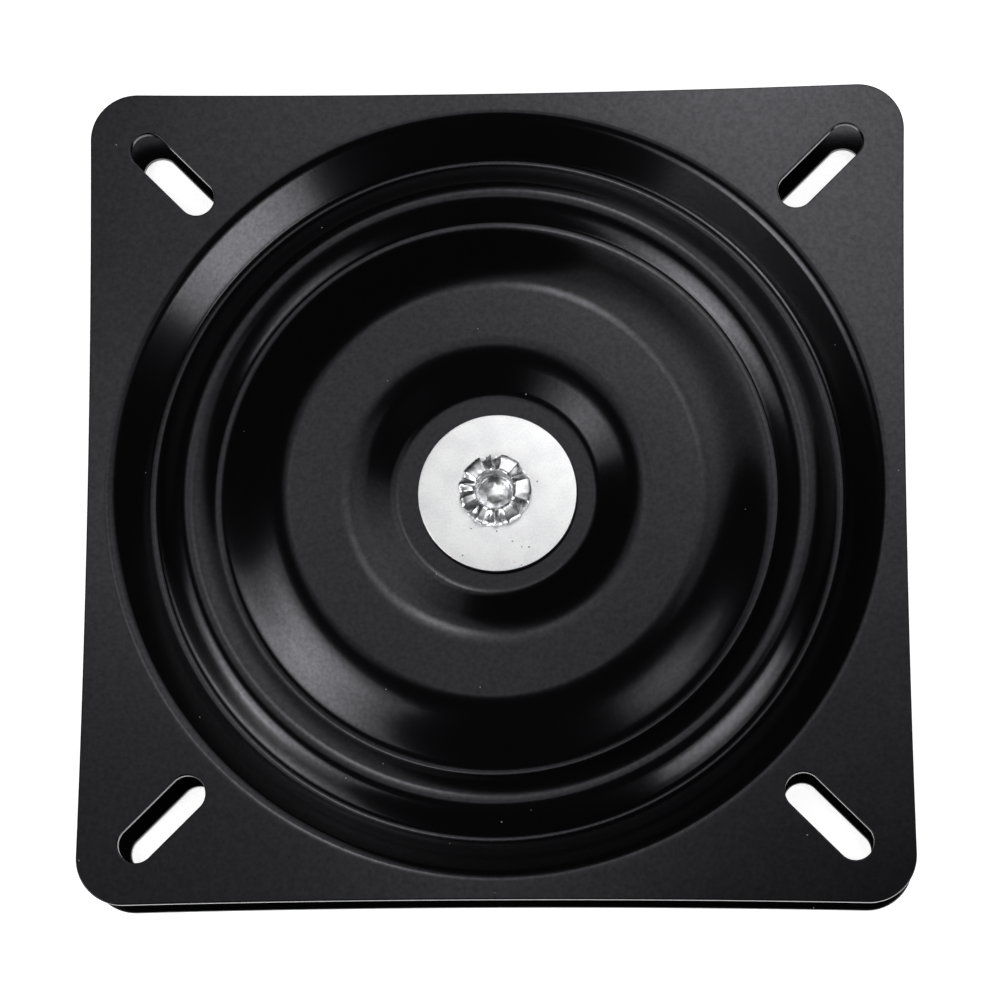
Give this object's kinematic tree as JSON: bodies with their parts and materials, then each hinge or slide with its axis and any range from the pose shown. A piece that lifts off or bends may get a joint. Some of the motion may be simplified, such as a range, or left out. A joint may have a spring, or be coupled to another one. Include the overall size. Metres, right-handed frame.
{
  "type": "lazy susan bearing",
  "caption": "Square pressed-steel swivel plates that turn on a caged ball race round a star-crimped centre rivet, with slotted corners for screws.",
  "frame": {"origin": "middle of the lower plate's flat mounting face, on the swivel axis", "axes": "+Z along the swivel axis towards the upper plate; X and Y along the sides of the plates"},
  "size_m": [0.178, 0.178, 0.022],
  "materials": {
    "black_coat": "gloss",
    "cage_nylon": "matte",
    "ball_steel": "polished",
    "rivet_steel": "polished",
    "zinc_plate": "satin"
  },
  "bodies": {
    "base": {"lower_plate": "black_coat", "lower_washer": "zinc_plate", "centre_rivet": "rivet_steel", "upper_washer": "zinc_plate"},
    "turntable": {"upper_plate": "black_coat"},
    "ball_ring": {"ball_cage": "cage_nylon", "ball_01": "ball_steel", "ball_02": "ball_steel", "ball_03": "ball_steel", "ball_04": "ball_steel", "ball_05": "ball_steel", "ball_06": "ball_steel", "ball_07": "ball_steel", "ball_08": "ball_steel", "ball_09": "ball_steel", "ball_10": "ball_steel", "ball_11": "ball_steel", "ball_12": "ball_steel", "ball_13": "ball_steel", "ball_14": "ball_steel", "ball_15": "ball_steel", "ball_16": "ball_steel", "ball_17": "ball_steel", "ball_18": "ball_steel", "ball_19": "ball_steel", "ball_20": "ball_steel", "ball_21": "ball_steel", "ball_22": "ball_steel", "ball_23": "ball_steel", "ball_24": "ball_steel", "ball_25": "ball_steel", "ball_26": "ball_steel", "ball_27": "ball_steel", "ball_28": "ball_steel"}
  },
  "joints": [
    {"name": "swivel", "type": "hinge", "parent": "base", "child": "turntable", "pos_m": [0, 0, 0], "axis": [0, 0, 1], "continuous": true},
    {"name": "cage_orbit", "type": "hinge", "parent": "base", "child": "ball_ring", "pos_m": [0, 0, 0], "axis": [0, 0, 1], "continuous": true}
  ],
  "couplings": [
    {"joint": "cage_orbit", "follows": "swivel", "ratio": 0.5}
  ]
}
